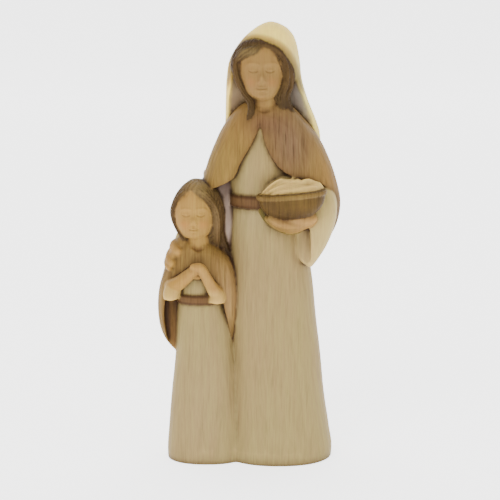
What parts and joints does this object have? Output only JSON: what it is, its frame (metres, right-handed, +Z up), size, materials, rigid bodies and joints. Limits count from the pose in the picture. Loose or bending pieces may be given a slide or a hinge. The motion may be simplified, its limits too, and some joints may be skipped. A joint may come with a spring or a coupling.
{
  "type": "wooden nativity figure",
  "caption": "Standing carved wooden group of a veiled woman in a short cape holding a bowl of cloth, with a girl in a cape under her other arm, on a flat base.",
  "frame": {"origin": "centre of the figure's footprint box at the underside, on the surface it stands on", "axes": "+Z up; the faces look towards -Y; the girl stands on the -X side and the bowl is held on the +X side"},
  "size_m": [0.0626, 0.0412, 0.15],
  "materials": {
    "carved_wood": "satin stained and waxed carved wood"
  },
  "bodies": {
    "root": {"figure": "carved_wood"}
  },
  "joints": []
}
